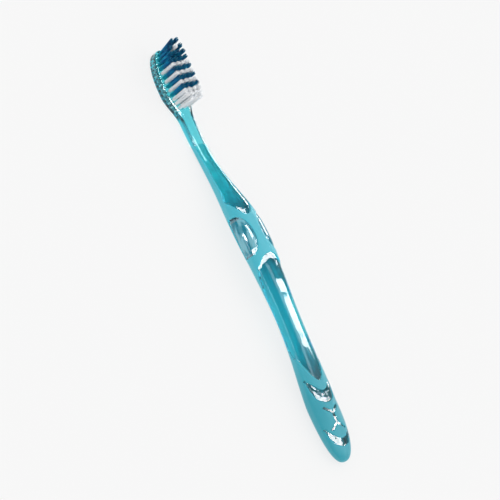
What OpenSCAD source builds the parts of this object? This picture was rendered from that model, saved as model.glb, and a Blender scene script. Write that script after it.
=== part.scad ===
// Manual toothbrush, lying on its back with the bristles up.
// Millimetres. X runs from the tip of the head to the end of the handle and Z is up.
// The origin is under the middle of the brush, on the plane that its back rests on.

/* [Head] */
// Length of the head, from its tip to the root of the neck
head_len = 33; // [30:0.5:40]
// Width of the head plate
plate_w = 12.4; // [11.5:0.1:15]
// Thickness of the head plate
plate_t = 5; // [4.4:0.1:6]
// Length of the oval front part of the head plate
tip_len = 16; // [12:0.5:18]
// Length over which the heel of the plate narrows to the neck
heel_len = 14.5; // [8:0.5:14.5]
// Radius of the long edges of the plate
plate_edge_r = 0.9; // [0.4:0.1:1.4]

/* [Neck] */
// Length of the neck
neck_len = 23; // [15:0.5:32]
// Width of the neck where it leaves the head
neck_root_w = 6.3; // [5.6:0.1:7]
// Thickness of the neck where it leaves the head
neck_root_t = 4.4; // [3.8:0.1:4.6]
// Width of the neck at its slimmest
neck_w = 5.9; // [5:0.1:6.2]
// Thickness of the neck at its slimmest
neck_t = 4; // [3.4:0.1:4.4]
// Height of the slimmest neck above the resting plane
neck_gap = 0.35; // [0.2:0.05:1]
// Width at the end of the neck
neck_end_w = 6.6; // [6.2:0.1:8]
// Thickness at the end of the neck
neck_end_t = 4.5; // [4:0.1:5.5]
// Height of the end of the neck above the resting plane
neck_end_gap = 1.5; // [1:0.1:2.5]

/* [Thumb rest] */
// Length of the rise from the neck to the widest place of the thumb rest
rise_len = 35; // [31:0.5:45]
// Width of the thumb rest
thumb_w = 14.3; // [12.5:0.1:17]
// Thickness of the thumb rest
thumb_t = 10.7; // [9:0.1:13]
// Height of the thumb rest above the resting plane
thumb_gap = 4.5; // [3:0.1:6]
// Distance from the widest place to the top of the arch under the handle
arch_run = 13; // [12:0.5:18]
// Width at the top of the arch
arch_w = 12.9; // [11:0.1:14]
// Thickness at the top of the arch
arch_t = 9.6; // [8:0.1:11]
// Height of the arch above the resting plane
arch_gap = 5.05; // [4.8:0.05:7]

/* [Waist] */
// Distance from the top of the arch to the waist
waist_run = 22; // [16:0.5:30]
// Width of the waist
waist_w = 10.3; // [9:0.1:11.5]
// Thickness of the waist
waist_t = 8.2; // [7:0.1:9]
// Height of the waist above the resting plane
waist_gap = 4.65; // [3:0.05:4.8]

/* [Tail] */
// Length over which the handle flares from the waist to the tail
flare_len = 40; // [32:0.5:52]
// Width of the tail
tail_w = 13.3; // [12:0.1:16]
// Thickness of the tail
tail_t = 10; // [9:0.1:12]
// Length of the rounded end
end_len = 24; // [20:0.5:28]
// How far the middle of the end lies below the middle of the tail
end_drop = 1.3; // [0:0.1:1.6]

/* [Soft grip] */
// Thickness of the soft grip
grip_wall = 1.4; // [1:0.1:2]
// Length of the tongue that the grip sends up the back of the neck
tongue_len = 29; // [16:0.5:36]
// Length over which the thumb sleeve narrows to the strip along the back of the handle
narrowing_len = 14; // [8:0.5:18]
// Width of the bridge between the two side windows of the thumb sleeve
bridge_w = 3.9; // [2:0.1:6]
// Length of the side windows of the thumb sleeve
window_len = 18.4; // [10:0.2:19]
// Depth of the polished scoops in front of and behind the thumb sleeve
scoop_depth = 0.4; // [0.2:0.05:0.8]
// Width of the strokes of the figure on the tail sleeve
figure_w = 1; // [0.6:0.1:1.4]

/* [Tufts] */
// Rows of tufts, from the tip of the head to its heel
row_count = 13; // [9:1:13]
// Distance from the tip of the head to the first row
first_row = 2.4; // [2.2:0.1:3]
// Distance between rows
row_pitch = 2; // [1.9:0.05:2.05]
// Distance between the tufts of a row
col_pitch = 2.5; // [2.1:0.1:2.7]
// Bore of the tuft holes
hole_d = 1.66; // [1.4:0.02:1.7]
// Depth of the tuft holes
hole_depth = 3.2; // [2.4:0.1:3.6]
// Least wall between a tuft hole and the edge of the plate
rim = 0.8; // [0.5:0.05:1.2]
// Length of the bristles above the plate
tuft_len = 9.8; // [8:0.1:12]
// Extra length of the bristles at the tip of the head
tip_extra = 2.2; // [0:0.1:3]
// Lean of the rows, blue to the tip and white to the heel
row_lean = 0.9; // [0:0.1:1]
// Lean of the first row to the tip of the head
tip_lean = 7; // [3:0.5:8]
// Strands round the middle strand of a tuft
ring_strands = 8; // [6:1:8]

/* [Tuft anchors] */
// Thickness of the metal strip that holds a tuft
anchor_t = 0.25; // [0.15:0.01:0.35]
// Height of the metal strip
anchor_h = 1.3; // [0.9:0.1:1.6]

/* [Hidden] */
// Overrun of every cutting body past the surface that it cuts
over = 1;
// Clearance between a tuft root and its hole, and between an anchor and its slot
seat_clear = 0.04;
// Facets of the tuft holes and roots, of the corners of a section and of round cutters
hole_fn = 10;
corner_steps = 5;
round_fn = 24;
band_steps = 9;
crescent_steps = 5;
oval_steps = 4;
// Spacing of the sections along the handle
section_step = 4;
tip_sections = 9;
heel_sections = 6;
end_sections = 8;
// Roundness of the tail in plan, as the power of a superellipse
end_power = 2.4;
// The shares of the nose and of the tail end at which the sections stop
nose_share = 0.996;
end_share = 0.998;
// The most that a grip takes of the half thickness of the handle
thin_share = 0.4;
// Corners of a section, as shares of its half width and half thickness
neck_corner_shares = [0.45, 0.62];
handle_corner_shares = [0.85, 0.85];

// Crescent slots of the tail sleeve: their widths as shares of the tail, how far they reach as
// a share of its half width, their width at the tips and how far down the sides they go
slot_w_share = 0.4;
end_slot_w_share = 0.24;
crescent_reach_share = 0.9;
crescent_tip_share = 0.12;
slot_low_share = 0.3;

// Places along the brush
neck_x = head_len;
rise_x = neck_x + neck_len;
thumb_x = rise_x + rise_len;
arch_x = thumb_x + arch_run;
waist_x = arch_x + waist_run;
tail_x = waist_x + flare_len;
brush_len = tail_x + end_len;
heel_x = head_len - heel_len;

// The slimmest place of the neck, as a share of its length
slim_share = 0.52;
// Stations between two named ones, as shares of the way from one to the other
low_rise_shares = [0.34, 0.42, 0.42, 0.53, 0.8, 0.8];
high_rise_shares = [0.69, 0.91, 0.935, 0.77, 1, 1];
low_flare_shares = [0.4, 0.17, 0.16, 0.31, 1, 1];
high_flare_shares = [0.7, 0.8, 0.83, 0.69, 1, 1];

function lerp(a, b, s) = a + (b - a) * s;
function between(a, b, shares) = [for (k = [0 : len(a) - 1]) lerp(a[k], b[k], shares[k])];
function flat(lists) = [for (l = lists) for (v = l) v];

// A station is its place, width, thickness, height above the resting plane and corner shares
neck_root = concat([neck_x, neck_root_w, neck_root_t, 0], neck_corner_shares);
neck_slim = concat([neck_x + slim_share * neck_len, neck_w, neck_t, neck_gap], neck_corner_shares);
neck_end = concat([rise_x, neck_end_w, neck_end_t, neck_end_gap], neck_corner_shares);
thumb = concat([thumb_x, thumb_w, thumb_t, thumb_gap], handle_corner_shares);
arch = concat([arch_x, arch_w, arch_t, arch_gap], handle_corner_shares);
waist = concat([waist_x, waist_w, waist_t, waist_gap], handle_corner_shares);
tail = concat([tail_x, tail_w, tail_t, 0], handle_corner_shares);
stations = [
    neck_root, neck_slim, neck_end,
    between(neck_end, thumb, low_rise_shares), between(neck_end, thumb, high_rise_shares),
    thumb, arch, waist,
    between(waist, tail, low_flare_shares), between(waist, tail, high_flare_shares),
    tail
];

// Smooth curve through column c of the stations that never overshoots them
function rate(i, c) = (stations[i + 1][c] - stations[i][c]) / (stations[i + 1][0] - stations[i][0]);
function slope(i, c) =
    i == 0 || i == len(stations) - 1 || rate(i - 1, c) * rate(i, c) <= 0 ? 0
    : 2 * rate(i - 1, c) * rate(i, c) / (rate(i - 1, c) + rate(i, c));
function span_at(x, i = 0) = i == len(stations) - 2 || x < stations[i + 1][0] ? i : span_at(x, i + 1);
function curve(x, c) =
    let (
        i = span_at(x),
        run = stations[i + 1][0] - stations[i][0],
        s = min(1, max(0, (x - stations[i][0]) / run)),
        a = stations[i][c],
        b = stations[i + 1][c]
    )
    lerp(a, b, s * s * (3 - 2 * s))
    + run * s * (1 - s) * ((1 - s) * slope(i, c) - s * slope(i + 1, c));

// Half sizes of the head plate
function ease(s) = (1 - cos(180 * min(1, max(0, s)))) / 2;
function heel_ease(x) = ease((x - heel_x) / heel_len);
function oval(x) = sqrt(1 - pow(max(0, nose_share - x / tip_len), 2));
function plate_half_w(x) = lerp(plate_w / 2 * oval(x), neck_root_w / 2, heel_ease(x));
function plate_half_t(x) =
    lerp(plate_t, neck_root_t, heel_ease(x)) / 2
    - plate_edge_r + sqrt(pow(plate_edge_r, 2) - pow(max(0, plate_edge_r - x), 2));
function plate_mid(x) = lerp(plate_t, neck_root_t, heel_ease(x)) / 2;
plate_corner_shares = [plate_edge_r / plate_w * 2, plate_edge_r / plate_t * 2];

// A section is its half width, half thickness, middle height and corner shares, grown by g
function end_way(x, g) = min(end_share, max(0, (x - tail_x) / (end_len + g) * end_share));
function end_fade(x, g) = pow(1 - pow(end_way(x, g), end_power), 1 / end_power);
function wall_limit(x, g) = max(g, -thin_share * curve(x, 2) / 2);
function section(x, g) =
    x < neck_x
    ? [
        plate_half_w(x) + g, plate_half_t(x) + g, plate_mid(x),
        lerp(plate_corner_shares[0], neck_corner_shares[0], heel_ease(x)),
        lerp(plate_corner_shares[1], neck_corner_shares[1], heel_ease(x))
    ]
    : [
        (curve(x, 1) / 2 + wall_limit(x, g)) * end_fade(x, g),
        (curve(x, 2) / 2 + wall_limit(x, g)) * end_fade(x, g),
        curve(x, 2) / 2 + curve(x, 3) - end_drop * pow(end_way(x, g), end_power),
        curve(x, 4),
        curve(x, 5)
    ];
function mid_z(x) = section(x, 0)[2];
function half_t(x) = section(x, 0)[1];
function half_w(x) = section(x, 0)[0];

function ring(x, g) =
    let (q = section(x, g))
    [
        for (k = [0 : 3], j = [0 : corner_steps])
        let (
            turn = 90 * (k + j / corner_steps),
            side = k == 0 || k == 3 ? 1 : -1,
            face = k < 2 ? 1 : -1
        )
        [
            x,
            q[0] * (side * (1 - q[3]) + q[3] * cos(turn)),
            q[2] + q[1] * (face * (1 - q[4]) + q[4] * sin(turn))
        ]
    ];

// Places of the sections from x0 to x1, for a body grown by g
function places(g) = concat(
    [for (k = [0 : tip_sections - 1])
        tip_len * (nose_share - cos(lerp(acos(nose_share), 90, k / tip_sections)))],
    [for (k = [0 : heel_sections - 1]) lerp(tip_len, neck_x, k / heel_sections)],
    let (n = ceil((tail_x - neck_x) / section_step))
    [for (k = [0 : n - 1]) lerp(neck_x, tail_x, k / n)],
    [for (k = [0 : end_sections]) tail_x + (end_len + g) * sin(90 * k / end_sections)]
);
function places_in(x0, x1, g) = concat([x0], [for (x = places(g)) if (x > x0 && x < x1) x], [x1]);

// Thumb sleeve: places of its edges as shares of the rise and of the arch run, their bow as
// shares of its width, and the power of the bow
function bow_of(from, run, w, shares) = [from + run * shares[0], w * shares[1], shares[2]];
thumb_head_shares = [-0.306, 0.9, 2];
thumb_heel_shares = [0.608, -0.45, 2];
scoop_head_shares = [-0.394, 0.61, 2];
scoop_heel_shares = [0.8, -0.3, 2];
thumb_head_bow = bow_of(thumb_x, rise_len, thumb_w, thumb_head_shares);
thumb_heel_bow = bow_of(thumb_x, arch_run, thumb_w, thumb_heel_shares);
// The scoops run on under the grip, so that no sliver stays between their cuts
under_grip = [scoop_depth, 0, 0];
scoop_head_bow = bow_of(thumb_x, rise_len, thumb_w, scoop_head_shares);
scoop_heel_bow = bow_of(thumb_x, arch_run, thumb_w, scoop_heel_shares);
window_back_share = 0.063;
window_low_share = 0.5;
window_x = thumb_x - window_back_share * rise_len;

// Tail sleeve: the same, as shares of the flare and of the rounded end
tail_shares = [-0.26, 1.26, 2];
slot_shares = [-0.085, 0.8, 2.3];
end_slot_shares = [0.7, 0.68, 2.3];
tail_bow = bow_of(tail_x, flare_len, tail_w, tail_shares);
slot_bow = bow_of(tail_x, flare_len, tail_w, slot_shares);
end_slot_bow = bow_of(tail_x, end_len, tail_w, end_slot_shares);
slot_w = slot_w_share * tail_w;
end_slot_w = end_slot_w_share * tail_w;

// Corners of the side edges of the thumb sleeve, and the end of the tongue on the neck
side_head_share = -0.54;
side_heel_share = 1.04;
side_head_x = thumb_x + side_head_share * rise_len;
side_heel_x = thumb_x + side_heel_share * arch_run;
tongue_x = side_head_x - tongue_len;
// Upper edge of the grip on the sides: shares of the tongue, of the narrowing and of the
// flare, each with a share of the half thickness there
tongue_shares = [[1.04, 0.14], [0.9, 0.6], [0.45, 0.66], [0.12, 0.54], [0, 0.38]];
narrowing_shares = [[0, 0.34], [0.18, 0.07], [0.45, -0.07], [0.65, -0.25], [1, -0.65]];
flare_shares = [[-0.79, -0.65], [-0.6, -0.07], [-0.55, 0.14], [-0.49, 0.6], [-0.2, 0.6]];
grip_line = concat(
    [for (m = tongue_shares) [side_head_x - m[0] * tongue_len, m[1]]],
    [for (m = narrowing_shares) [side_heel_x + m[0] * narrowing_len, m[1]]],
    [for (m = flare_shares) [tail_x + m[0] * flare_len, m[1]]]
);

// Places along the rounded end of the four ends of the figure, and the reach of its arms
figure_shares = [0.06, 0.17, 0.35, 0.455];
figure_arm_share = 0.48;

// Rows behind the first one that fan out to the tip, and white rows at the heel
fan_rows = 3;
heel_rows = 3;
// Radii of the middle strand and of the ring of strands, the rise of the middle strand over
// the ring, how deep the strands start in the root, and the anchor's width, as shares of the root
middle_share = 0.19;
inner_share = 0.235;
outer_share = 0.47;
dome_share = 0.1;
fused_share = 0.26;
anchor_w_share = 0.9;
root_d = hole_d - 2 * seat_clear;
anchor_w = root_d * anchor_w_share;
anchor_low = -hole_depth + anchor_t + 2 * seat_clear;
// Half of the angle between two strands of the ring, in degrees
strand_gap_angle = 3;

// Closed body of the brush from x0 to x1, grown by g
module body(x0, x1, g) {
    xs = places_in(x0, x1, g);
    m = 4 * (corner_steps + 1);
    n = len(xs);
    sides = [
        for (i = [0 : n - 2], j = [0 : m - 1])
        let (a = i * m + j, b = i * m + (j + 1) % m)
        each [[a, a + m, b], [b, a + m, b + m]]
    ];
    start = [for (j = [0 : m - 1]) j];
    finish = [for (j = [m - 1 : -1 : 0]) (n - 1) * m + j];
    polyhedron(flat([for (x = xs) ring(x, g)]), concat(sides, [start, finish]));
}

// Bars of round ends and changing width along points of [x, y, width], as a plan outline
module stroke(marks) {
    for (i = [0 : len(marks) - 2])
        hull()
            for (m = [marks[i], marks[i + 1]])
                translate([m[0], m[1]])
                    circle(d = m[2], $fn = round_fn);
}

// A place on the middle line and how far the line bows to the head at half width w
function bow_x(bow, y, w) = bow[0] - bow[1] * pow(abs(y) / w, bow[2]);

// Plan outline of the soft skin between two bowed edges
module bowed_band(head_bow, heel_bow, w) {
    ys = [for (k = [-band_steps : band_steps]) (w + over) * k / band_steps];
    polygon(concat(
        [for (y = ys) [bow_x(head_bow, y, w), y]],
        [for (k = [len(ys) - 1 : -1 : 0]) [bow_x(heel_bow, ys[k], w), ys[k]]]
    ));
}

// Plan outline of a crescent that follows a bowed line and thins out to both sides
module crescent(bow, width, w) {
    reach = w * crescent_reach_share;
    stroke([
        for (k = [-crescent_steps : crescent_steps])
        let (s = k / crescent_steps)
        [bow_x(bow, s * reach, w), s * reach, width * max(1 - s * s, crescent_tip_share)]
    ]);
}

// Plan outline of an oval, as circles along its length
module long_oval(half_len, half_width) {
    focus = sqrt(pow(half_len, 2) - pow(half_width, 2));
    reach = pow(focus, 2) / half_len;
    stroke([
        for (k = [-oval_steps : oval_steps])
        let (c = reach * k / oval_steps)
        [c, 0, 2 * half_width * sqrt(1 - pow(c / focus, 2))]
    ]);
}

// A prism over a plan outline, from z0 to above the handle
module over_plan(z0) {
    translate([0, 0, z0])
        linear_extrude(thumb_gap + thumb_t + tail_t)
            children();
}

// Side outline of all that lies below a line of [place, share of the half thickness]
module below_line(marks) {
    line = [for (m = marks) [m[0], mid_z(m[0]) + m[1] * half_t(m[0])]];
    first = line[0];
    last = line[len(line) - 1];
    polygon(concat(
        [[first[0] - over, -tail_t], first - [over, 0]],
        line,
        [last + [over, 0], [last[0] + over, -tail_t]]
    ));
}

// A prism over a side outline, right through the handle
module through_side() {
    rotate([90, 0, 0])
        linear_extrude(thumb_w + tail_w, center = true)
            children();
}

// The soft skin of the handle from x0 to x1, grown outwards by g
module skin(x0, x1, g, wall) {
    difference() {
        body(x0, min(x1, brush_len + g), g);
        body(x0 - over, min(x1 + over, brush_len - wall), -wall);
    }
}

module thumb_windows() {
    oval_half = (thumb_w - bridge_w) / 2;
    z0 = mid_z(thumb_x) - window_low_share * half_t(thumb_x);
    for (side = [-1, 1])
        translate([window_x, side * thumb_w / 2, 0])
            over_plan(z0)
                long_oval(window_len / 2, oval_half);
}

// Double fork on the front of the tail sleeve
module tail_figure() {
    x0 = lerp(tail_x, brush_len, figure_shares[0]);
    x1 = lerp(tail_x, brush_len, figure_shares[1]);
    x2 = lerp(tail_x, brush_len, figure_shares[2]);
    x3 = lerp(tail_x, brush_len, figure_shares[3]);
    arm = tail_w / 2 * figure_arm_share;
    stroke([[x1, 0, figure_w], [x2, 0, figure_w]]);
    for (side = [-1, 1]) {
        stroke([[x0, side * arm, figure_w], [x1, 0, figure_w]]);
        stroke([[x2, 0, figure_w], [x3, side * arm, figure_w]]);
    }
}

module tail_slots() {
    over_plan(mid_z(slot_bow[0]) + slot_low_share * half_t(slot_bow[0]))
        crescent(slot_bow, slot_w, tail_w / 2);
    over_plan(mid_z(end_slot_bow[0]) + slot_low_share * half_t(end_slot_bow[0]))
        crescent(end_slot_bow, end_slot_w, tail_w / 2);
    over_plan(mid_z(tail_x) + slot_low_share * half_t(tail_x))
        tail_figure();
}

// Soft grip, grown outwards by g: two sleeves that a strip along the back joins
module grip_form(g) {
    difference() {
        intersection() {
            skin(tongue_x, brush_len + g, g, grip_wall);
            union() {
                through_side()
                    below_line(grip_line);
                over_plan(-tail_t / 2)
                    bowed_band(thumb_head_bow, thumb_heel_bow, thumb_w / 2);
                over_plan(-tail_t / 2)
                    bowed_band(tail_bow, [brush_len + tail_w, 0, 1], tail_w / 2);
            }
        }
        thumb_windows();
        tail_slots();
    }
}

// Polished scoops in the handle along both edges of the thumb sleeve
module scoops() {
    intersection() {
        skin(tongue_x, waist_x, over, scoop_depth);
        over_plan(mid_z(thumb_x)) {
            bowed_band(scoop_head_bow, thumb_head_bow + under_grip, thumb_w / 2);
            bowed_band(thumb_heel_bow - under_grip, scoop_heel_bow, thumb_w / 2);
        }
    }
}

// Each row is its place, its number of tufts and the distance between them
function row_x(i) = first_row + i * row_pitch;
function row_tufts(i) = i == 0 ? 2 : i == 1 || i == row_count - 1 ? 3 : 4;
function row_reach(i) =
    min(
        (row_tufts(i) - 1) / 2 * col_pitch,
        half_w(row_x(i)) - rim - hole_d / 2
    );
function tuft_y(i, j) = row_reach(i) * (2 * j / (row_tufts(i) - 1) - 1);
// Blue and white rows take turns between the blue tip and the white heel
function is_blue(i, j) =
    i == 1 ? j != 1
    : i <= fan_rows || (i % 2 == 1 && i < row_count - heel_rows);
// The first rows fan out to the tip of the head
function tuft_lean(i, j) =
    i <= fan_rows ? -lerp(tip_lean, row_lean, i / fan_rows)
    : is_blue(i, j) ? -row_lean
    : row_lean;
function bristle_len(i) = tuft_len + tip_extra * max(0, 1 - i / fan_rows);

module each_tuft_place(lift) {
    for (i = [0 : row_count - 1], j = [0 : row_tufts(i) - 1])
        translate([row_x(i), tuft_y(i, j), lift])
            children();
}

// One strand of four sides, from its corners [angle, radius] round the tuft's middle
module strand(corners, low, high, lean) {
    shift = tan(lean);
    plan = [for (c = corners) [c[1] * cos(c[0]), c[1] * sin(c[0])]];
    points = [for (z = [low, high]) for (p = plan) [p[0] + z * shift, p[1], z]];
    polyhedron(points, [
        [0, 1, 2], [0, 2, 3],
        [6, 5, 4], [7, 6, 4],
        for (a = [0 : 3])
            let (b = (a + 1) % 4)
            each [[a, a + 4, b], [b, a + 4, b + 4]]
    ]);
}

// Bristles of one tuft, fused to their folded root
module tuft(i, j) {
    lean = tuft_lean(i, j);
    high = bristle_len(i);
    step = 360 / ring_strands;
    half = step / 2 - strand_gap_angle;
    inner_r = root_d * inner_share;
    outer_r = root_d * outer_share;
    low = -seat_clear - root_d * fused_share;
    translate([row_x(i), tuft_y(i, j), plate_t]) {
        difference() {
            translate([0, 0, -hole_depth + seat_clear])
                cylinder(d = root_d, h = hole_depth - 2 * seat_clear, $fn = hole_fn);
            translate([-anchor_t / 2 - seat_clear, -root_d, anchor_low - seat_clear])
                cube([anchor_t + 2 * seat_clear, 2 * root_d, anchor_h + 2 * seat_clear]);
        }
        strand(
            [for (k = [0 : 3]) [90 * k + 45, root_d * middle_share]],
            low, high + root_d * dome_share, lean
        );
        for (k = [0 : ring_strands - 1])
            let (a = k * step)
            strand(
                [[a - half, outer_r], [a + half, outer_r], [a + half, inner_r], [a - half, inner_r]],
                low, high, lean
            );
    }
}

function tuft_name(i, j) = str(is_blue(i, j) ? "blue" : "white", "_tuft_r", i + 1, "_c", j + 1);

module handle_core() {
    color("darkcyan")
        translate([-brush_len / 2, 0, 0])
            difference() {
                body(0, brush_len, 0);
                grip_form(over);
                scoops();
                each_tuft_place(plate_t - hole_depth)
                    cylinder(d = hole_d, h = hole_depth + over, $fn = hole_fn);
            }
}

module soft_grip() {
    color("mediumturquoise")
        translate([-brush_len / 2, 0, 0])
            grip_form(0);
}

module tuft_anchors() {
    color("goldenrod")
        translate([-brush_len / 2, 0, 0])
            each_tuft_place(plate_t + anchor_low)
                translate([-anchor_t / 2, -anchor_w / 2, 0])
                    cube([anchor_t, anchor_w, anchor_h]);
}

module bristles(i, j) {
    color(is_blue(i, j) ? "navy" : "white")
        translate([-brush_len / 2, 0, 0])
            tuft(i, j);
}

handle_core();
soft_grip();
tuft_anchors();
for (i = [0 : row_count - 1], j = [0 : row_tufts(i) - 1])
    bristles(i, j);
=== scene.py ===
"""Manual toothbrush with a clear teal handle, one soft grip and crossed blue and white tufts."""
import math
import random

import bmesh
import bpy
import numpy as np
from mathutils import Matrix, Vector


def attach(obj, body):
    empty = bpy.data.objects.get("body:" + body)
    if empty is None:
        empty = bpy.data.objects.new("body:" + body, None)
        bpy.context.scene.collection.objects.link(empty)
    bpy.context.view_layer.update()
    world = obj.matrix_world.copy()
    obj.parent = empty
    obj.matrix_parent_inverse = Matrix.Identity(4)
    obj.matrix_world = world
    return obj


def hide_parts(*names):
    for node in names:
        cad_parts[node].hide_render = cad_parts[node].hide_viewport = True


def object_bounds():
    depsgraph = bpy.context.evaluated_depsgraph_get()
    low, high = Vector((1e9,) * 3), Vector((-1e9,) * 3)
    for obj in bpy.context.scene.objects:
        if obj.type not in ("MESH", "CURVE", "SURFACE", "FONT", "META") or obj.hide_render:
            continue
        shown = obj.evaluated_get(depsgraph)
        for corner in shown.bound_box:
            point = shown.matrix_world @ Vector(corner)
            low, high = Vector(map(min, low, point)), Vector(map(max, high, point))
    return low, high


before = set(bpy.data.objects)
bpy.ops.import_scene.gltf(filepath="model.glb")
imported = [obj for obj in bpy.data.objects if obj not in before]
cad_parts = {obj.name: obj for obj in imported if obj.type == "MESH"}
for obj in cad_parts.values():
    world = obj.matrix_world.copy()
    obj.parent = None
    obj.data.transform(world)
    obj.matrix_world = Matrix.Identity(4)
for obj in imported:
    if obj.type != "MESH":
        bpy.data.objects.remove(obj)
cad_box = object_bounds()
rng = random.Random(7)

# Lengths below are in millimetres, with x from the tip of the head, and MM takes them to metres.
MM = 0.001
TIP_X = cad_box[0].x / MM

# Head plate
HEAD_LEN = 33
PLATE_W = 12.4
PLATE_T = 5
TIP_LEN = 16
HEEL_LEN = 14.5
PLATE_EDGE_R = 0.9
HEEL_X = HEAD_LEN - HEEL_LEN

# Neck and handle: the named stations, each as its place, width, thickness and height above the
# plane that the brush lies on. Corner shares are the parts of a half width and a half thickness
# that the rounded corners take. Rise and flare shares give two stations more between two others.
PLACE, WIDTH, THICKNESS, HEIGHT, CORNER_W, CORNER_T = range(6)
NECK_END_X = 56
THUMB_X = 91
ARCH_X = 104
WAIST_X = 126
TAIL_X = 166
END_LEN = 24
END_DROP = 1.3
END_POWER = 2.4
NECK_ROOT = (HEAD_LEN, 6.3, 4.4, 0)
NECK_SLIM = (45, 5.9, 4, 0.35)
NECK_END = (NECK_END_X, 6.6, 4.5, 1.5)
THUMB = (THUMB_X, 14.3, 10.7, 4.5)
ARCH = (ARCH_X, 12.9, 9.6, 5.05)
WAIST = (WAIST_X, 10.3, 8.2, 4.65)
TAIL = (TAIL_X, 13.3, 10, 0)
NECK_CORNER_SHARES = (0.45, 0.62)
HANDLE_CORNER_SHARES = (0.85, 0.85)
LOW_RISE_SHARES = (0.34, 0.42, 0.42, 0.53, 0.8, 0.8)
HIGH_RISE_SHARES = (0.69, 0.91, 0.935, 0.77, 1, 1)
LOW_FLARE_SHARES = (0.4, 0.17, 0.16, 0.31, 1, 1)
HIGH_FLARE_SHARES = (0.7, 0.8, 0.83, 0.69, 1, 1)

# Soft grip: its sleeves' bowed edges as (place on the middle line, bow per square millimetre)
GRIP_WALL = 1.4
THIN_SHARE = 0.4
THUMB_HEAD_BOW = (80.3, 0.252)
THUMB_HEEL_BOW = (98.9, -0.126)
SCOOP_HEAD_BOW = (78.0, 0.19)
SCOOP_HEEL_BOW = (101.4, -0.084)
TAIL_HEAD_BOW = (155.6, 0.379)
# Upper edge of the tongue and the strip on the back, as (place, share of the half thickness)
GRIP_LINE = (
    (43.1, -1.3), (43.4, -0.3), (44.6, 0.45), (47, 0.6), (59, 0.66), (68.6, 0.54), (72.1, 0.38),
    (104.5, 0.34), (107, 0.07), (110.9, -0.07), (113.6, -0.25), (118.5, -0.65),
    (134.4, -0.65), (142, -0.07), (144, 0.14), (146.4, 0.6), (158, 0.6),
)
WINDOW_X = 88.8
WINDOW_HALF_LEN = 9.2
WINDOW_HALF_W = 5.2
WINDOW_LOW_SHARE = 0.5
# Slots: each bow as its place on the middle line, its depth as a share of the tail's width, and
# its power
SLOT_BOW = (162.6, 0.8, 2.3)
SLOT_W = 5.32
END_SLOT_BOW = (182.8, 0.68, 2.3)
END_SLOT_W = 3.2
SLOT_REACH = 5.98
SLOT_TIP_SHARE = 0.12
SLOT_LOW_SHARE = 0.3
FIGURE_STROKES = (
    ((167.4, 3.2), (170.1, 0)), ((167.4, -3.2), (170.1, 0)), ((170.1, 0), (174.4, 0)),
    ((174.4, 0), (176.9, 3.2)), ((174.4, 0), (176.9, -3.2)),
)
FIGURE_W = 1

# Crescents are drawn as circles along a bow, and far outside all of them the depth is this
CRESCENT_CIRCLES = 49
FAR_OUTSIDE = -99.0
# Rounding of the windows' lower corners, and how far the scoops run on under the grip
WINDOW_BLEND = 0.8
UNDER_GRIP = 1.0

# Fairing: how far apart the places of an average are at most, that for the width, and the weights
FAIRING = 6
WIDTH_FAIRING = 4
FAIRING_WEIGHTS = ((-2, 1), (-1, 4), (0, 6), (1, 4), (2, 1))
FAIRING_SUM = sum(weight for _, weight in FAIRING_WEIGHTS)

# Finish of the mesh
RING_CORNER_STEPS = 20
RING_FLAT_STEPS = 5
NOSE_SECTIONS = 70
END_SECTIONS = 90
SECTION_STEP = 0.45
SAME_POINT = 1e-5
POINT_DIGITS = 5
NOT_ZERO = 1e-9
CUT_GAP = 1e-6
SLOPE_STEP = 0.01
SLOPE_LIMITS = (0.25, 4)
CREASE = math.radians(50)
# Odd weights for sorting faces, so that no two faces come to the same number
ORDER_Y = 0.371
ORDER_Z = 0.0173
# The skin is cut along the grip's edge, where the edge's rounding ends, and once between
GRIP_EDGE_R = 0.22
GRIP_CUTS = (0, GRIP_EDGE_R, GRIP_EDGE_R * 0.4)
SCOOP_CUTS = (0, 0.15)
# The grip's inner face lies a little deeper than the core's recess, so that they don't coincide
SEAT_DEPTH = 0.05
LEAST_WALL = 0.1

# Falls of the clear core below the skin: scoops, domes, foot of the handle and figure
EDGE_ROOM = 0.01
SIDE_FADE = 3
LEAST_HALF = 0.1
HEAD_SCOOP_SLOPE = 0.58
HEEL_SCOOP_SLOPE = 0.3
HEEL_SCOOP_LEAD = 0.3
SCOOP_MOST = 1.33
HEEL_RISE = 15
HEEL_RISE_POWER = 1.5
# Domes: the most that they fall, and how far in they reach
SLOT_DOME = (0.45, 1.6)
WINDOW_DOME = (0.45, 2.2)
FOOT_X = 141
FOOT_EASE = 4
FOOT_SLOPE = 0.025
FIGURE_FALL = 0.05
FIGURE_FALL_X = 170
FIGURE_FALL_MOST = 0.35

# Tuft holes, and the strands of a tuft in rings round the middle one
HOLE_D = 1.66
HOLE_DEPTH = 3.2
HOLE_SIDES = 20
OVERRUN = 1
FOOT_LAYER = 0.05
TIP_LAYER = 0.6
STRAND_R = 0.095
STRAND_SIDES = 5
STRAND_RINGS = 3
STRAND_PITCH = 0.226
RING_TWIST = 0.3
STRAND_SPREAD = (1.0, 1.35)
STRAND_LEAN = 0.16
STRAND_SHORT = 0.25
STRAND_LIFT = 0.2
TIP_ROUNDING = 0.12
TIP_SHARE = 0.45

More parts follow.
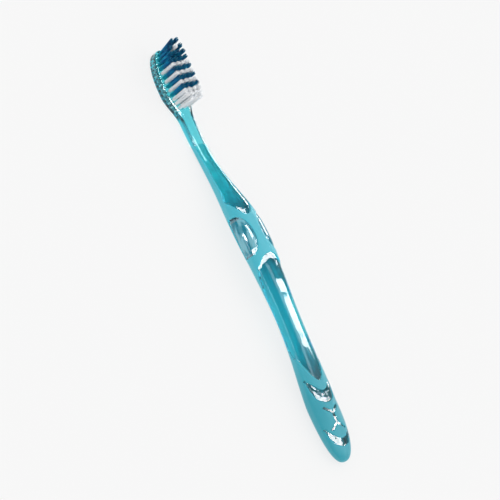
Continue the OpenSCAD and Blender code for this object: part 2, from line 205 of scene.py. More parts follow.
# Finishes: colours, and streaks as scales along the axes with the noise values that are spread
CLEAR = (0.9, 0.99, 1.0)
DYE = (0, 0.79, 0.84, 1)
DYE_DENSITY = 400
# Painted glints and reflections in the two side windows: between these places the clear core is
# less clear, and its colour takes pale and deep streaks that stand in for glints and reflections
WINDOW_GLINT_FADES = ((80.4, 82), (98.6, 96.5))
WINDOW_GLINT_STREAKS = ((110, 420, 420), 0.42, 0.56)
WINDOW_GLINT_DEEP = (0.01, 0.30, 0.40)
WINDOW_GLINT_PALE = (0.30, 0.72, 0.81)
WINDOW_GLINT_CLEARNESS = 0.45
SOFT_THUMB = (0.06, 0.44, 0.54)
SOFT_TAIL = (0.03, 0.32, 0.40)
# The grip's inner face, seen through the core: lighter than the rubber outside, as painted light
# that comes through the rubber, with long lengthwise streaks of painted light and shade
SEAT_LINES = ((12, 520, 520), 0.35, 0.65)
SEAT_DEEP = (0.3, 0.47, 0.46)
SEAT_PALE = (0.3, 0.73, 0.70)
# Painted glints and reflections: near-white and deep streaks on the grip's inner face round the
# windows
SEAT_GLINT_STREAKS = ((120, 900, 500), 0.46, 0.58)
SEAT_GLINT_PALE = (0.95, 0.99, 1.0)
SEAT_GLINT_DEEP = (0.02, 0.45, 0.6)
STREAK_DETAIL = 3
# Nylon: the colours at the root, along the strand, of the deeper strands and at the tip
BLUE_NYLON = ((0.0, 0.30, 0.40), (0.0, 0.24, 0.48), (0.0, 0.08, 0.30), (0.0, 0.04, 0.13))
WHITE_NYLON = ((0.90, 0.97, 1.0), (0.93, 0.97, 1.0), (0.87, 0.94, 1.0), (0.96, 0.98, 1.0))
NYLON_STREAKS = ((2600, 2600, 140), 0.4, 0.6)
ROOT_FADE = (PLATE_T - 1, PLATE_T + 5)
TIP_FADE = (PLATE_T + 6.5, PLATE_T + 10)
METAL = (0.86, 0.84, 0.76)

# Camera: a long lens from the photograph's side, with the brush where it lies in the picture. Its
# distance and its clipping are in metres.
VIEW_AZIMUTH = math.radians(18)
VIEW_ELEVATION = math.radians(49)
PHOTO_SIDE = 500
PX_PER_MM = 2.405
TIP_PX = (156, 50)
TIP_RUN_PX = 2.0
LINE_PX = (0.4158, 0.9095)
MIDDLE_Z = 3.2
CAMERA_FAR = 2.4
SENSOR = 36
CAMERA_CLIP = (0.1, 20)

# Studio: the walls' light, what reflections see of the walls, and the pale floor
WALL_LIGHT = 1.05
WALL_GLOSS = 0.5
FLOOR_GLOW = 0.765
FLOOR_COLOUR = 0.15
FLOOR_HALF = 4000
FLOOR_GAP = 0.05
# Lights, LIGHT_FAR metres away: the directions of both ends, the width as a share of that
# distance, and the radiance
LIGHT_FAR = 8
KEY = ((0.2, 0.1, 0.97), (0.25, 0.8, 0.54), 0.7, 0.5)
GLOSS_LIGHTS = {
    "top_strip": ((-0.102, 0.45, 0.887), (-0.102, 0.82, 0.563), 0.066, 22),
    "middle_strip": ((-0.1, 0.1, 0.99), (-0.1, 0.45, 0.887), 0.2, 3),
    "far_shoulder": ((-0.2, 0.89, 0.41), (-0.68, 0.72, 0.14), 0.225, 16),
    "far_window": ((-0.2, 0.93, 0.3), (-0.42, 0.86, 0.29), 0.5, 10),
    "near_glow": ((-0.3, -0.93, 0.22), (0.1, -0.97, 0.22), 0.25, 4),
    "near_strip": ((0.3, -0.85, 0.42), (0.3, -0.1, 0.94), 0.525, 20),
    "far_strip": ((0.3, -0.1, 0.94), (0.3, 0.57, 0.765), 0.525, 20),
    "heel_spot": ((0.42, 0.55, 0.72), (0.42, 0.8, 0.43), 0.28, 20),
    "figure_spot": ((0.04, 0.4, 0.916), (0.04, 0.75, 0.66), 0.1, 20),
    "side_strip": ((-0.36, -0.1, 0.93), (-0.36, 0.42, 0.83), 0.28, 18),
    "low_spot": ((-0.27, -0.92, 0.28), (-0.27, -0.75, 0.6), 0.08, 30),
}


def lerp(a, b, s):
    return a + (b - a) * s


def between(a, b, shares):
    return tuple(lerp(a[k], b[k], shares[k]) for k in range(len(shares)))


def stations():
    neck = [s + NECK_CORNER_SHARES for s in (NECK_ROOT, NECK_SLIM, NECK_END)]
    thumb, arch, waist, tail = [s + HANDLE_CORNER_SHARES for s in (THUMB, ARCH, WAIST, TAIL)]
    rise = [between(neck[2], thumb, s) for s in (LOW_RISE_SHARES, HIGH_RISE_SHARES)]
    flare = [between(waist, tail, s) for s in (LOW_FLARE_SHARES, HIGH_FLARE_SHARES)]
    return np.array(neck + rise + [thumb, arch, waist] + flare + [tail])


STATIONS = stations()


def smooth_line(x, place, value):
    """Smooth line through the values at the places that never overshoots them."""
    rate = np.diff(value) / np.diff(place)
    slope = np.zeros(len(place))
    same = rate[:-1] * rate[1:] > 0
    pair_sum = np.where(same, rate[:-1] + rate[1:], 1)
    slope[1:-1] = np.where(same, 2 * rate[:-1] * rate[1:] / pair_sum, 0)
    i = np.clip(np.searchsorted(place, x, side="right") - 1, 0, len(place) - 2)
    run = place[i + 1] - place[i]
    s = np.clip((x - place[i]) / run, 0, 1)
    smooth = lerp(value[i], value[i + 1], s * s * (3 - 2 * s))
    return smooth + run * s * (1 - s) * ((1 - s) * slope[i] - s * slope[i + 1])


def curve(x, column):
    """A column of the stations as a smooth curve, averaged over a few millimetres to fair it."""
    most = WIDTH_FAIRING if column == WIDTH else FAIRING
    room = np.clip(np.minimum(x - HEAD_LEN, TAIL_X - x) / 2, 0, most)
    total = 0
    for shift, weight in FAIRING_WEIGHTS:
        value = smooth_line(x + shift * room, STATIONS[:, PLACE], STATIONS[:, column])
        total = total + weight / FAIRING_SUM * value
    return total


def heel_ease(x):
    return (1 - np.cos(math.pi * np.clip((x - HEEL_X) / HEEL_LEN, 0, 1))) / 2


def section(x):
    """Half width, half thickness, middle height and corner shares at the places x."""
    x = np.asarray(x, float)
    to_neck = heel_ease(x)
    oval = np.sqrt(1 - np.clip(1 - x / TIP_LEN, 0, 1) ** 2)
    plate_w = lerp(PLATE_W / 2 * oval, NECK_ROOT[WIDTH] / 2, to_neck)
    plate_t = lerp(PLATE_T, NECK_ROOT[THICKNESS], to_neck) / 2
    nose = PLATE_EDGE_R - np.sqrt(PLATE_EDGE_R**2 - np.clip(PLATE_EDGE_R - x, 0, PLATE_EDGE_R) ** 2)
    edge_share = np.minimum(1, PLATE_EDGE_R / np.maximum(plate_w, NOT_ZERO))
    corner_w = lerp(edge_share, NECK_CORNER_SHARES[0], to_neck)
    corner_t = lerp(PLATE_EDGE_R / PLATE_T * 2, NECK_CORNER_SHARES[1], to_neck)
    end = np.clip((x - TAIL_X) / END_LEN, 0, 1)
    fade = (1 - end**END_POWER) ** (1 / END_POWER)
    handle_middle = curve(x, THICKNESS) / 2 + curve(x, HEIGHT) - END_DROP * end**END_POWER
    head = x < HEAD_LEN
    return (
        np.where(head, plate_w, curve(x, WIDTH) / 2 * fade),
        np.where(head, plate_t - nose, curve(x, THICKNESS) / 2 * fade),
        np.where(head, plate_t, handle_middle),
        np.where(head, corner_w, curve(x, CORNER_W)),
        np.where(head, corner_t, curve(x, CORNER_T)),
    )


def upright(x):
    """Middle height and half thickness at the places x."""
    _, half_t, middle, _, _ = section(x)
    return middle, half_t


def ring_shares():
    """Points round a section as (side, face, cosine, sine), with corners and flats in turn."""
    points = []
    for k, (side, face) in enumerate(((1, 1), (-1, 1), (-1, -1), (1, -1))):
        next_side, next_face = ((-1, 1), (-1, -1), (1, -1), (1, 1))[k]
        for j in range(RING_CORNER_STEPS):
            turn = math.pi / 2 * (k + j / RING_CORNER_STEPS)
            points.append((side, face, math.cos(turn), math.sin(turn)))
        turn = math.pi / 2 * (k + 1)
        for j in range(RING_FLAT_STEPS):
            s = j / RING_FLAT_STEPS
            points.append((
                lerp(side, next_side, s), lerp(face, next_face, s), math.cos(turn), math.sin(turn),
            ))
    return np.array(points)


def ring_places():
    """Places of the sections, close together where the nose and the tail end turn round."""
    nose = TIP_LEN * (1 - np.cos(np.linspace(0, math.pi / 2, NOSE_SECTIONS)))
    n = round((TAIL_X - TIP_LEN) / SECTION_STEP)
    middle = np.linspace(TIP_LEN, TAIL_X, n + 1)[1:]
    end = TAIL_X + END_LEN * np.sin(np.linspace(0, math.pi / 2, END_SECTIONS))[1:]
    return np.concatenate([nose, middle, end])


def coordinates(bm):
    return np.array([v.co for v in bm.verts]).reshape(-1, 3)


def lofted_body():
    """The outer surface of the whole brush, in millimetres from the tip, as one closed mesh."""
    shares = ring_shares()
    places = ring_places()
    around = len(shares)
    along = len(places)
    bm = bmesh.new()
    bmesh.ops.create_grid(bm, x_segments=around, y_segments=along - 1, size=0.5)
    half_w, half_t, middle, corner_w, corner_t = section(places)
    for v in bm.verts:
        j = round((v.co.x + 0.5) * around) % around
        i = round((v.co.y + 0.5) * (along - 1))
        side, face, cosine, sine = shares[j]
        v.co = (
            places[i],
            half_w[i] * (side * (1 - corner_w[i]) + corner_w[i] * cosine),
            middle[i] + half_t[i] * (face * (1 - corner_t[i]) + corner_t[i] * sine),
        )
    bmesh.ops.remove_doubles(bm, verts=bm.verts[:], dist=SAME_POINT)
    bmesh.ops.recalc_face_normals(bm, faces=bm.faces[:])
    return bm


def smooth_min(a, b, r):
    mix = np.clip(0.5 + (b - a) / (2 * r), 0, 1)
    return lerp(b, a, mix) - r * mix * (1 - mix)


def bow(edge, y):
    return edge[0] - edge[1] * y**2


def below_line(line, x, z):
    """How far z lies below a line of (place, share of the half thickness)."""
    place, share = np.array(line).T
    middle, half_t = upright(place)
    under = smooth_line(x, place, middle + share * half_t) - z
    return np.minimum(under, np.minimum(x - place[0], place[-1] - x))


def capsule(x, y, start, end, r):
    """Depth inside a bar with round ends, seen in plan."""
    run = np.array(end) - start
    s = np.clip(((x - start[0]) * run[0] + (y - start[1]) * run[1]) / (run @ run), 0, 1)
    return r - np.hypot(x - start[0] - s * run[0], y - start[1] - s * run[1])


def crescent(edge, width, x, y):
    """Depth inside a crescent that follows a bowed line and thins out to both sides."""
    middle_x, depth, power = edge
    inside = np.full(len(x), FAR_OUTSIDE)
    for s in np.linspace(-1, 1, CRESCENT_CIRCLES):
        centre_x = middle_x - depth * TAIL[WIDTH] * abs(s * SLOT_REACH / TAIL[WIDTH] * 2) ** power
        r = width / 2 * max(1 - s * s, SLOT_TIP_SHARE)
        inside = np.maximum(inside, r - np.hypot(x - centre_x, y - s * SLOT_REACH))
    return inside


def window(p):
    """Depth inside the two side windows of the thumb sleeve."""
    x, y, z = p.T
    across = (THUMB[WIDTH] / 2 - np.abs(y)) / WINDOW_HALF_W
    oval = 1 - np.hypot((x - WINDOW_X) / WINDOW_HALF_LEN, across)
    middle = THUMB[THICKNESS] / 2 + THUMB[HEIGHT]
    above_low_edge = z - (middle - WINDOW_LOW_SHARE * THUMB[THICKNESS] / 2)
    return smooth_min(oval * WINDOW_HALF_W, above_low_edge, WINDOW_BLEND)


def high_only(p, depth_inside):
    """Keeps an opening of the tail sleeve to the upper part of the handle."""
    middle, half_t = upright(p[:, 0])
    return np.minimum(depth_inside, p[:, 2] - middle - SLOT_LOW_SHARE * half_t)


def slot(p):
    return high_only(p, crescent(SLOT_BOW, SLOT_W, p[:, 0], p[:, 1]))


def end_slot(p):
    return high_only(p, crescent(END_SLOT_BOW, END_SLOT_W, p[:, 0], p[:, 1]))


def figure(p):
    strokes = [capsule(p[:, 0], p[:, 1], a, b, FIGURE_W / 2) for a, b in FIGURE_STROKES]
    return high_only(p, np.max(strokes, axis=0))


def slots(p):
    """Depth inside the slots and the figure of the tail sleeve."""
    return np.max([slot(p), end_slot(p), figure(p)], axis=0)


def scoop_form(p):
    """Positive in the two scoops beside the thumb sleeve, and a little way under it."""
    x, y, z = p.T
    middle, _ = upright(x)
    head = np.minimum(x - bow(SCOOP_HEAD_BOW, y), bow(THUMB_HEAD_BOW, y) + UNDER_GRIP - x)
    heel = np.minimum(x - bow(THUMB_HEEL_BOW, y) + UNDER_GRIP, bow(SCOOP_HEEL_BOW, y) - x)
    return np.minimum(np.maximum(head, heel), z - middle)


def upper_share(p):
    """1 on the upper part of the handle, falling to 0 halfway down its sides."""
    middle, half_t = upright(p[:, 0])
    height = np.clip((p[:, 2] - middle) / np.maximum(half_t, LEAST_HALF), 0, 1)
    return np.clip(height * SIDE_FADE, 0, 1)


def scoop_fall(p):
    """Depth of the scoops, each a ramp down towards the tail that runs out at the sides.

    The heel scoop rises again slowly into the middle of the handle.
    """
    x, y = p[:, 0], p[:, 1]
    run = x - bow(SCOOP_HEAD_BOW, y)
    ramp = np.clip(run * HEAD_SCOOP_SLOPE, 0, SCOOP_MOST)
    head = np.where(x < bow(THUMB_HEAD_BOW, y) + EDGE_ROOM, ramp, 0)
    run = x - bow(THUMB_HEEL_BOW, y)
    room = bow(SCOOP_HEEL_BOW, y) - x
    lowest = run + np.minimum(room, 0)
    heel = np.where(run > -EDGE_ROOM, (lowest + HEEL_SCOOP_LEAD) * HEEL_SCOOP_SLOPE, 0)
    heel *= np.clip(1 + room / HEEL_RISE, 0, 1) ** HEEL_RISE_POWER
    return (head + heel) * upper_share(p)


def foot_fall(p):
    """Slow fall of the bare handle towards the tail sleeve, where its glare ends."""
    x, y = p[:, 0], p[:, 1]
    run = np.where(x < bow(TAIL_HEAD_BOW, y) + EDGE_ROOM, np.maximum(x - FOOT_X, 0), 0)
    return FOOT_SLOPE * run**2 / (run + FOOT_EASE) * upper_share(p)


def edge_fall(depth_inside, dome):
    """Fall of a dome, given as its most and its reach, towards the edge of an opening."""
    most, reach = dome
    near = 1 - np.clip(depth_inside / reach, 0, 1)
    return np.where(depth_inside > -EDGE_ROOM, most * near**2, 0)


def dome_fall(p):
    """Fall of the clear core to the edges of the windows and the wide slot, and in the figure."""
    slope = FIGURE_FALL * np.maximum(p[:, 0] - FIGURE_FALL_X, 0)
    sunk = np.where(figure(p) > -EDGE_ROOM, slope, 0)
    domes = np.maximum(edge_fall(slot(p), SLOT_DOME), edge_fall(window(p), WINDOW_DOME))
    return np.maximum(domes, np.minimum(sunk, FIGURE_FALL_MOST))


def grip_form(p):
    """Positive where the soft grip covers the surface, negative on the core."""
    x, y, z = p.T
    thumb = np.minimum(x - bow(THUMB_HEAD_BOW, y), bow(THUMB_HEEL_BOW, y) - x)
    cover = np.max([thumb, x - bow(TAIL_HEAD_BOW, y), below_line(GRIP_LINE, x, z)], axis=0)
    return np.min([cover, -window(p), -slots(p)], axis=0)


def distance_to(form, points, normals):
    """The form's value divided by its slope along the surface: about millimetres from its edge."""
    h = SLOPE_STEP
    slope = np.stack([
        (form(points + h * axis) - form(points - h * axis)) / (2 * h) for axis in np.eye(3)
    ], axis=1)
    slope -= (slope * normals).sum(1)[:, None] * normals
    steepness = np.clip(np.linalg.norm(slope, axis=1), *SLOPE_LIMITS)
    return form(points) / steepness


def mesh_normals(bm):
    return np.array([v.normal for v in bm.verts]).reshape(-1, 3)


def cut_along(bm, form, level):
    """Splits the mesh along the line where it is level millimetres inside the form's edge."""
    bm.normal_update()
    bm.verts.index_update()
    inside = distance_to(form, coordinates(bm), mesh_normals(bm)) - level
    inside[np.abs(inside) < CUT_GAP] = CUT_GAP
    percents = {}
    for e in bm.edges:
        a, b = inside[e.verts[0].index], inside[e.verts[1].index]
        if a * b < 0:
            percents[e] = a / (a - b)
    made = bmesh.ops.bisect_edges(bm, edges=list(percents), cuts=1, edge_percents=percents)
    verts = [g for g in made["geom_split"] if isinstance(g, bmesh.types.BMVert)]
    bmesh.ops.connect_verts(bm, verts=verts)


def skin_with_edges():
    """The outer surface, cut along the edges of the grip and of the scoops."""
    bm = lofted_body()
    for level in GRIP_CUTS:
        cut_along(bm, grip_form, level)
    for level in SCOOP_CUTS:
        cut_along(bm, scoop_form, level)
    bm.normal_update()
    return bm


def faces_inside(bm, form):
    centres = np.array([f.calc_center_median() for f in bm.faces])
    return [f for f, v in zip(bm.faces, form(centres)) if v > 0]


def wall_at(x):
    """Thickness of the grip, which never takes much of a thin neck."""
    _, half_t = upright(x)
    return np.minimum(GRIP_WALL, THIN_SHARE * half_t)


def rounded(depth_from_edge, r):
    """How far a rounded edge of radius r falls away."""
    d = np.clip(r - depth_from_edge, 0, r)
    return r - np.sqrt(r * r - d * d)


def crease(bm):
    """Keeps the sharp edges sharp in an otherwise smooth mesh."""
    for e in bm.edges:
        e.smooth = e.calc_face_angle(0) < CREASE


def face_order(f):
    """A number from where a face lies, by which faces are sorted alike in every run."""
    x, y, z = f.calc_center_median()
    return x + ORDER_Y * y + ORDER_Z * z


def finished(name, bm):
    """Takes a mesh from millimetres at the tip to metres in the frame, as a new object in the
    scene.
    """
    bm.faces.sort(key=face_order)
    bmesh.ops.translate(bm, verts=bm.verts[:], vec=(TIP_X, 0, 0))
    bmesh.ops.scale(bm, verts=bm.verts[:], vec=(MM, MM, MM))
    mesh = bpy.data.meshes.new(name)
    bm.to_mesh(mesh)
    bm.free()
    mesh.polygons.foreach_set("use_smooth", [True] * len(mesh.polygons))
    piece = bpy.data.objects.new(name, mesh)
    bpy.context.scene.collection.objects.link(piece)
    return piece


def grip(name, skin):
    """The soft shell: the skin inside the grip's edge, with rounded edges and a wall inwards.

    Faces that lie against the clear core take the piece's second material.
    """
    bm = skin.copy()
    inside = set(faces_inside(bm, grip_form))
    bmesh.ops.delete(bm, geom=[f for f in bm.faces if f not in inside], context="FACES")
    bm.verts.index_update()
    points = coordinates(bm)
    normals = mesh_normals(bm)
    outer = bm.verts[:]
    away = np.maximum(distance_to(grip_form, points, normals), 0)
    falls = rounded(away, GRIP_EDGE_R)
    walls = wall_at(points[:, 0]) + SEAT_DEPTH
    made = bmesh.ops.extrude_face_region(bm, geom=bm.faces[:], use_keep_orig=True)
    inner = [g for g in made["geom"] if isinstance(g, bmesh.types.BMVert)]
    bm.verts.index_update()
    inner_index = {tuple(np.round(v.co, POINT_DIGITS)): v for v in inner}
    for k, v in enumerate(outer):
        twin = inner_index[tuple(np.round(v.co, POINT_DIGITS))]
        twin.co = Vector(points[k] - normals[k] * walls[k])
        v.co = Vector(points[k] - normals[k] * falls[k])
    against_core = set(inner)
    for f in bm.faces:
        if all(v in against_core for v in f.verts):
            f.material_index = 1
    bmesh.ops.recalc_face_normals(bm, faces=bm.faces[:])
    crease(bm)
    return finished(name, bm)


def core(name, skin):
    """The clear moulding: the skin with its scoops, and a recess for the grip."""
    bm = skin.copy()
    bm.verts.index_update()
    points = coordinates(bm)
    normals = mesh_normals(bm)
    fall = scoop_fall(points) + foot_fall(points) + dome_fall(points)
    walls = np.maximum(wall_at(points[:, 0]), fall + LEAST_WALL)
    covered = faces_inside(bm, grip_form)
    made = bmesh.ops.extrude_face_region(bm, geom=covered)
    for g in made["geom"]:
        if isinstance(g, bmesh.types.BMVert):
            g.tag = True
    bmesh.ops.delete(bm, geom=[f for f in covered if f.is_valid], context="FACES")
    place = {tuple(np.round(p, POINT_DIGITS)): k for k, p in enumerate(points)}
    for v in bm.verts:
        k = place[tuple(np.round(v.co, POINT_DIGITS))]
        depth = walls[k] if v.tag else fall[k]
        v.co = Vector(points[k] - normals[k] * depth)
    bmesh.ops.recalc_face_normals(bm, faces=bm.faces[:])
    return finished(name, bm)


def shader(material, **inputs):
    """Sets sockets of a material's main shader by name, with blanks written as underscores."""
    main = material.node_tree.nodes["Principled BSDF"]
    for name, value in inputs.items():
        main.inputs[name.replace("_", " ")].default_value = value
    return main


def new_material(name, colour, **inputs):
    material = bpy.data.materials.new(name)
    material.use_nodes = True
    shader(material, Base_Color=(*colour, 1), **inputs)
    return material


def mixed(m, factor, first, second):
    """A node that mixes two colours, each a tuple or another node's output, by a factor."""
    nodes, links = m.node_tree.nodes, m.node_tree.links
    mix = nodes.new("ShaderNodeMix")
    mix.data_type = "RGBA"
    for socket, colour in (("A", first), ("B", second)):
        if isinstance(colour, tuple):
            mix.inputs[socket].default_value = (*colour, 1)
        else:
            links.new(colour, mix.inputs[socket])
    links.new(factor, mix.inputs["Factor"])
    return mix.outputs["Result"]


def place_share(m, axis, start, end):
    """How far along an axis a point lies between two places, from 0 to 1, in object coordinates."""
    nodes, links = m.node_tree.nodes, m.node_tree.links
    where = nodes.new("ShaderNodeTexCoord")
    split = nodes.new("ShaderNodeSeparateXYZ")
    links.new(where.outputs["Object"], split.inputs["Vector"])
    share = nodes.new("ShaderNodeMapRange")
    share.interpolation_type = "SMOOTHSTEP"
    share.inputs["From Min"].default_value = start
    share.inputs["From Max"].default_value = end
    links.new(split.outputs[axis], share.inputs["Value"])
    return share.outputs["Result"]


def product(m, first, second):
    multiply = m.node_tree.nodes.new("ShaderNodeMath")
    multiply.operation = "MULTIPLY"
    m.node_tree.links.new(first, multiply.inputs[0])
    m.node_tree.links.new(second, multiply.inputs[1])
    return multiply.outputs["Value"]


def streaks(m, scale, low, high):
    """Noise with a scale for each axis, its values between low and high spread from 0 to 1."""
    nodes, links = m.node_tree.nodes, m.node_tree.links
    where = nodes.new("ShaderNodeTexCoord")
    stretch = nodes.new("ShaderNodeMapping")
    stretch.inputs["Scale"].default_value = scale
    links.new(where.outputs["Object"], stretch.inputs["Vector"])
    noise = nodes.new("ShaderNodeTexNoise")
    noise.inputs["Scale"].default_value = 1
    noise.inputs["Detail"].default_value = STREAK_DETAIL
    links.new(stretch.outputs["Vector"], noise.inputs["Vector"])
    spread = nodes.new("ShaderNodeMapRange")
    spread.inputs["From Min"].default_value = low
    spread.inputs["From Max"].default_value = high
    links.new(noise.outputs["Fac"], spread.inputs["Value"])
    return spread.outputs["Result"]


def window_share(m):
    """1 along the two side windows and 0 elsewhere on the brush."""
    start, end = [place_share(m, "X", along_brush(a), along_brush(b)) for a, b in WINDOW_GLINT_FADES]
    return product(m, start, end)


def along_brush(x):
    return (TIP_X + x) * MM


def clear_teal():
    """The translucent plastic, with pale and deep streaks painted near its surface at the windows,
    which stand in for glints and reflections.
    """
    m = new_material("clear_teal", CLEAR, Roughness=0.05, IOR=1.49, Transmission_Weight=1.0)
    nodes, links = m.node_tree.nodes, m.node_tree.links
    main = nodes["Principled BSDF"]
    # Pale and deep streaks painted in at the windows stand in for glints and reflections, and the
    # core is less clear there so that they show
    painted_glints = mixed(m, streaks(m, *WINDOW_GLINT_STREAKS), WINDOW_GLINT_DEEP, WINDOW_GLINT_PALE)
    links.new(mixed(m, window_share(m), CLEAR, painted_glints), main.inputs["Base Color"])
    glint_transmission = nodes.new("ShaderNodeMapRange")
    glint_transmission.inputs["To Min"].default_value = 1
    glint_transmission.inputs["To Max"].default_value = WINDOW_GLINT_CLEARNESS
    links.new(window_share(m), glint_transmission.inputs["Value"])
    links.new(glint_transmission.outputs["Result"], main.inputs["Transmission Weight"])
    dye = nodes.new("ShaderNodeVolumeAbsorption")
    dye.inputs["Color"].default_value = DYE
    dye.inputs["Density"].default_value = DYE_DENSITY
    links.new(dye.outputs["Volume"], nodes["Material Output"].inputs["Volume"])
    return m


def soft_teal():
    """The soft plastic: paler on the thumb sleeve, deeper towards the tail."""
    m = new_material("soft_teal", SOFT_THUMB, Roughness=0.45, Subsurface_Weight=0.35)
    main = shader(m, Specular_IOR_Level=0.05, Sheen_Weight=0.5)
    shader(m, Subsurface_Radius=(0.4, 1.0, 1.0), Subsurface_Scale=0.002)
    tail = place_share(m, "X", along_brush(WAIST_X), along_brush(TAIL_X))
    m.node_tree.links.new(mixed(m, tail, SOFT_THUMB, SOFT_TAIL), main.inputs["Base Color"])
    return m


def soft_seat():
    """The inner face of the soft plastic, which shows through the clear core.

    Round the windows it is painted near-white, with deep streaks, for glints and reflections.
    Elsewhere it is lighter than the rubber outside, as painted light that comes through the rubber,
    with long streaks of painted light and shade.
    """
    m = new_material("soft_seat", SEAT_PALE, Roughness=0.6)
    # Near-white and deep streaks round the windows are painted glints and reflections; elsewhere
    # the lighter colour is painted light through the rubber, with streaks of painted light and
    # shade
    painted_glints = mixed(m, streaks(m, *SEAT_GLINT_STREAKS), SEAT_GLINT_PALE, SEAT_GLINT_DEEP)
    lines = mixed(m, streaks(m, *SEAT_LINES), SEAT_DEEP, SEAT_PALE)
    main = m.node_tree.nodes["Principled BSDF"]
    m.node_tree.links.new(mixed(m, window_share(m), lines, painted_glints), main.inputs["Base Color"])
    return m


def bristle(name, root_colour, colour, deep_colour, tip_colour):
    """Nylon filaments: each a little different, with colours that change from the root to the tip.
    """
    m = new_material(name, colour, Roughness=0.4, Subsurface_Weight=0.5, Specular_IOR_Level=0.15)
    main = shader(m, Subsurface_Radius=(0.8, 0.9, 1.0), Subsurface_Scale=0.002)
    root = place_share(m, "Z", ROOT_FADE[0] * MM, ROOT_FADE[1] * MM)
    tip = place_share(m, "Z", TIP_FADE[0] * MM, TIP_FADE[1] * MM)
    each = mixed(m, streaks(m, *NYLON_STREAKS), colour, deep_colour)
    lower = mixed(m, root, root_colour, each)
    m.node_tree.links.new(mixed(m, tip, lower, tip_colour), main.inputs["Base Color"])
    return m


def metal():
    return new_material("anchor_metal", METAL, Metallic=1.0, Roughness=0.35)


def on_brush(piece, material, slot_name, *nodes):
    piece.data.materials.append(material)
    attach(piece, "root")
    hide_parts(*nodes)


def tuft_axis(node):
    """Foot and tip of a tuft's middle, read from its solid."""
    points = np.array([v.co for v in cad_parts[node].data.vertices]) / MM
    points[:, 0] -= TIP_X
    z = points[:, 2]
    foot = points[z < z.min() + FOOT_LAYER].mean(0)
    tip = points[z > z.max() - TIP_LAYER]
    tip = np.array([*((tip.min(0) + tip.max(0)) / 2)[:2], z.max()])
    return foot, tip


def strand_spots():
    """Places of the strands round the middle of a tuft, with six more in each further ring."""
    spots = [(0.0, 0.0)]
    for ring in range(1, STRAND_RINGS + 1):
        r = STRAND_PITCH * ring
        for k in range(6 * ring):
            turn = 2 * math.pi * k / (6 * ring) + ring * RING_TWIST
            spots.append((r * math.cos(turn), r * math.sin(turn)))
    return spots


def strand(bm, start, surface, end):
    """One filament from its start in the hole, through the plate's surface, to its narrow tip."""
    made = bmesh.ops.create_circle(bm, segments=STRAND_SIDES, radius=STRAND_R, cap_ends=True)
    verts = made["verts"]
    bmesh.ops.translate(bm, verts=verts, vec=start)
    edges = [bm.edges.get(pair) for pair in zip(verts, verts[1:] + verts[:1])]
    shoulder = end - (end - surface).normalized() * TIP_ROUNDING
    centre = start
    for place in (surface, shoulder, end):
        made = bmesh.ops.extrude_edge_only(bm, edges=edges)["geom"]
        verts = [g for g in made if isinstance(g, bmesh.types.BMVert)]
        edges = [g for g in made if isinstance(g, bmesh.types.BMEdge)]
        bmesh.ops.translate(bm, verts=verts, vec=place - centre)
        centre = place
    for v in verts:
        v.co = end + (v.co - end) * TIP_SHARE
    bmesh.ops.edgeloop_fill(bm, edges=edges)


def tuft_piece(node, name):
    """A round bundle of filaments on a tuft's axis, packed in rings round the middle one."""
    foot, tip = tuft_axis(node)
    bm = bmesh.new()
    for spot_x, spot_y in strand_spots():
        spread = rng.uniform(*STRAND_SPREAD)
        lean_x = rng.uniform(-STRAND_LEAN, STRAND_LEAN)
        lean_y = rng.uniform(-STRAND_LEAN, STRAND_LEAN)
        length = rng.uniform(-STRAND_SHORT, 0.0)
        lift = rng.uniform(0, STRAND_LIFT)
        start = Vector((foot[0] + spot_x, foot[1] + spot_y, foot[2] + lift))
        surface = Vector((foot[0] + spot_x, foot[1] + spot_y, PLATE_T))
        end_x = max(tip[0] + spot_x * spread + lean_x, STRAND_R)
        end = Vector((end_x, tip[1] + spot_y * spread + lean_y, tip[2] + length))
        strand(bm, start, surface, end)
    bmesh.ops.recalc_face_normals(bm, faces=bm.faces[:])
    return finished(name, bm)


def drill(piece, centres):
    """Sinks the tuft holes into the head plate."""
    bm = bmesh.new()
    for x, y in centres:
        made = bmesh.ops.create_cone(
            bm, cap_ends=True, segments=HOLE_SIDES, radius1=HOLE_D / 2, radius2=HOLE_D / 2,
            depth=HOLE_DEPTH + OVERRUN,
        )
        middle_z = PLATE_T + (OVERRUN - HOLE_DEPTH) / 2
        bmesh.ops.translate(bm, verts=made["verts"], vec=(x, y, middle_z))
    cutter = finished("drill", bm)
    cut = piece.modifiers.new("holes", "BOOLEAN")
    cut.operation = "DIFFERENCE"
    cut.solver = "EXACT"
    cut.object = cutter
    bpy.context.view_layer.update()
    view = bpy.context.evaluated_depsgraph_get()
    holed = bpy.data.meshes.new_from_object(piece.evaluated_get(view))
    piece.modifiers.clear()
    old = piece.data
    piece.data = holed
    holed.name = piece.name
    bm = bmesh.new()
    bm.from_mesh(holed)
    crease(bm)
    bm.to_mesh(holed)
    bm.free()
    bpy.data.meshes.remove(old)
    bpy.data.objects.remove(cutter)


def build_brush():
    tufts = sorted(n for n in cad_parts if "_tuft_" in n)
    skin = skin_with_edges()
    clear = core("clear_handle", skin)
    drill(clear, [tuft_axis(n)[0][:2] for n in tufts])
    on_brush(clear, clear_teal(), "handle_plastic", "handle_core")
    sleeves = grip("soft_sleeves", skin)
    on_brush(sleeves, soft_teal(), "grip_rubber", "soft_grip")
    sleeves.data.materials.append(soft_seat())
    skin.free()
    blue = bristle("blue_nylon", *BLUE_NYLON)
    white = bristle("white_nylon", *WHITE_NYLON)
    for n in tufts:
        strands = tuft_piece(n, n.replace("tuft", "strands"))
        if n.startswith("blue"):
            on_brush(strands, blue, "blue_bristle", n)
        else:
            on_brush(strands, white, "white_bristle", n)
    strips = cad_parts["tuft_anchors"]
    strips.data.materials.clear()
    strips.data.materials.append(metal())


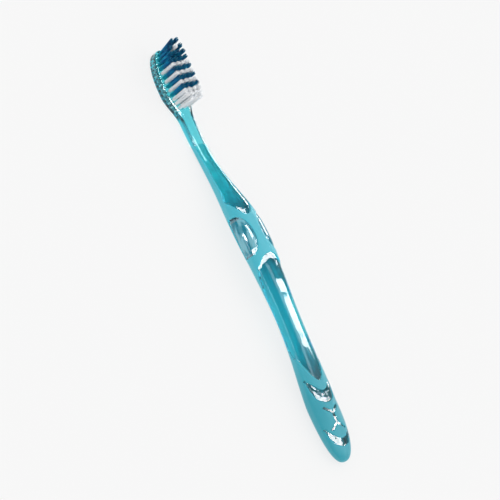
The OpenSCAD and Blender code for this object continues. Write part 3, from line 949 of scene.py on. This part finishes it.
def camera():
    """A long lens from the photograph's side, rolled so that the brush lies along its line."""
    away = Vector((
        math.sin(VIEW_AZIMUTH) * math.cos(VIEW_ELEVATION),
        -math.cos(VIEW_AZIMUTH) * math.cos(VIEW_ELEVATION),
        math.sin(VIEW_ELEVATION),
    ))
    along = Vector((1, 0, 0)) - away * away.x
    shortening = along.length
    along.normalize()
    across = away.cross(along)
    right = along * LINE_PX[0] + across * LINE_PX[1]
    up = -along * LINE_PX[1] + across * LINE_PX[0]
    tip = Vector((TIP_X - TIP_RUN_PX / PX_PER_MM / shortening, 0, MIDDLE_Z))
    middle_px = PHOTO_SIDE / 2
    centre = tip + right * (middle_px - TIP_PX[0]) / PX_PER_MM
    centre = centre - up * (middle_px - TIP_PX[1]) / PX_PER_MM
    data = bpy.data.cameras.new("camera")
    data.sensor_width = SENSOR
    data.lens = data.sensor_width * CAMERA_FAR / (PHOTO_SIDE / PX_PER_MM * MM)
    data.clip_start, data.clip_end = CAMERA_CLIP
    item = bpy.data.objects.new("camera", data)
    turned = Matrix((right, up, away)).transposed().to_4x4()
    item.matrix_world = Matrix.Translation(centre * MM + away * CAMERA_FAR) @ turned
    bpy.context.scene.collection.objects.link(item)
    bpy.context.scene.camera = item


def softbox(name, first, last, width, radiance, only_gloss=False):
    """A long flat light that faces the brush, its middle line between two directions.

    The width is a share of its distance.
    """
    ends = [Vector(v).normalized() * LIGHT_FAR for v in (first, last)]
    middle = (ends[0] + ends[1]) / 2
    length = (ends[1] - ends[0]).length
    data = bpy.data.lights.new(name, "AREA")
    data.shape = "RECTANGLE"
    data.size = width * LIGHT_FAR
    data.size_y = length
    data.energy = radiance * math.pi * data.size * length
    item = bpy.data.objects.new(name, data)
    back = middle.normalized()
    side = (ends[1] - ends[0]).cross(back).normalized()
    turned = Matrix((side, back.cross(side), back)).transposed().to_4x4()
    item.matrix_world = Matrix.Translation(middle) @ turned
    item.visible_camera = False
    item.visible_diffuse = not only_gloss
    item.visible_transmission = not only_gloss
    bpy.context.scene.collection.objects.link(item)


def studio_walls():
    """White walls all round, dimmer in reflections so that gloss keeps its contrast."""
    world = bpy.data.worlds.new("studio")
    world.use_nodes = True
    nodes, links = world.node_tree.nodes, world.node_tree.links
    nodes["Background"].inputs["Color"].default_value = (1, 1, 1, 1)
    nodes["Background"].inputs["Strength"].default_value = WALL_LIGHT
    dim = nodes.new("ShaderNodeBackground")
    dim.inputs["Strength"].default_value = WALL_GLOSS
    ray = nodes.new("ShaderNodeLightPath")
    both = nodes.new("ShaderNodeMath")
    both.operation = "MULTIPLY"
    links.new(ray.outputs["Is Glossy Ray"], both.inputs[0])
    links.new(ray.outputs["Is Reflection Ray"], both.inputs[1])
    mix = nodes.new("ShaderNodeMixShader")
    links.new(both.outputs["Value"], mix.inputs["Fac"])
    links.new(nodes["Background"].outputs["Background"], mix.inputs[1])
    links.new(dim.outputs["Background"], mix.inputs[2])
    links.new(mix.outputs["Shader"], nodes["World Output"].inputs["Surface"])
    bpy.context.scene.world = world


def studio():
    studio_walls()
    bm = bmesh.new()
    bmesh.ops.create_grid(bm, x_segments=1, y_segments=1, size=FLOOR_HALF)
    bmesh.ops.translate(bm, verts=bm.verts[:], vec=(0, 0, -FLOOR_GAP))
    floor = finished("floor", bm)
    lit = new_material("lit_floor", (FLOOR_COLOUR,) * 3, Roughness=0.9, Specular_IOR_Level=0.0)
    shader(lit, Emission_Color=(1, 1, 1, 1), Emission_Strength=FLOOR_GLOW)
    floor.data.materials.append(lit)
    softbox("key", *KEY)
    for name, light in GLOSS_LIGHTS.items():
        softbox(name, *light, only_gloss=True)
    bpy.context.scene.view_settings.view_transform = "Standard"


camera()
build_brush()
studio()

bpy.context.view_layer.update()
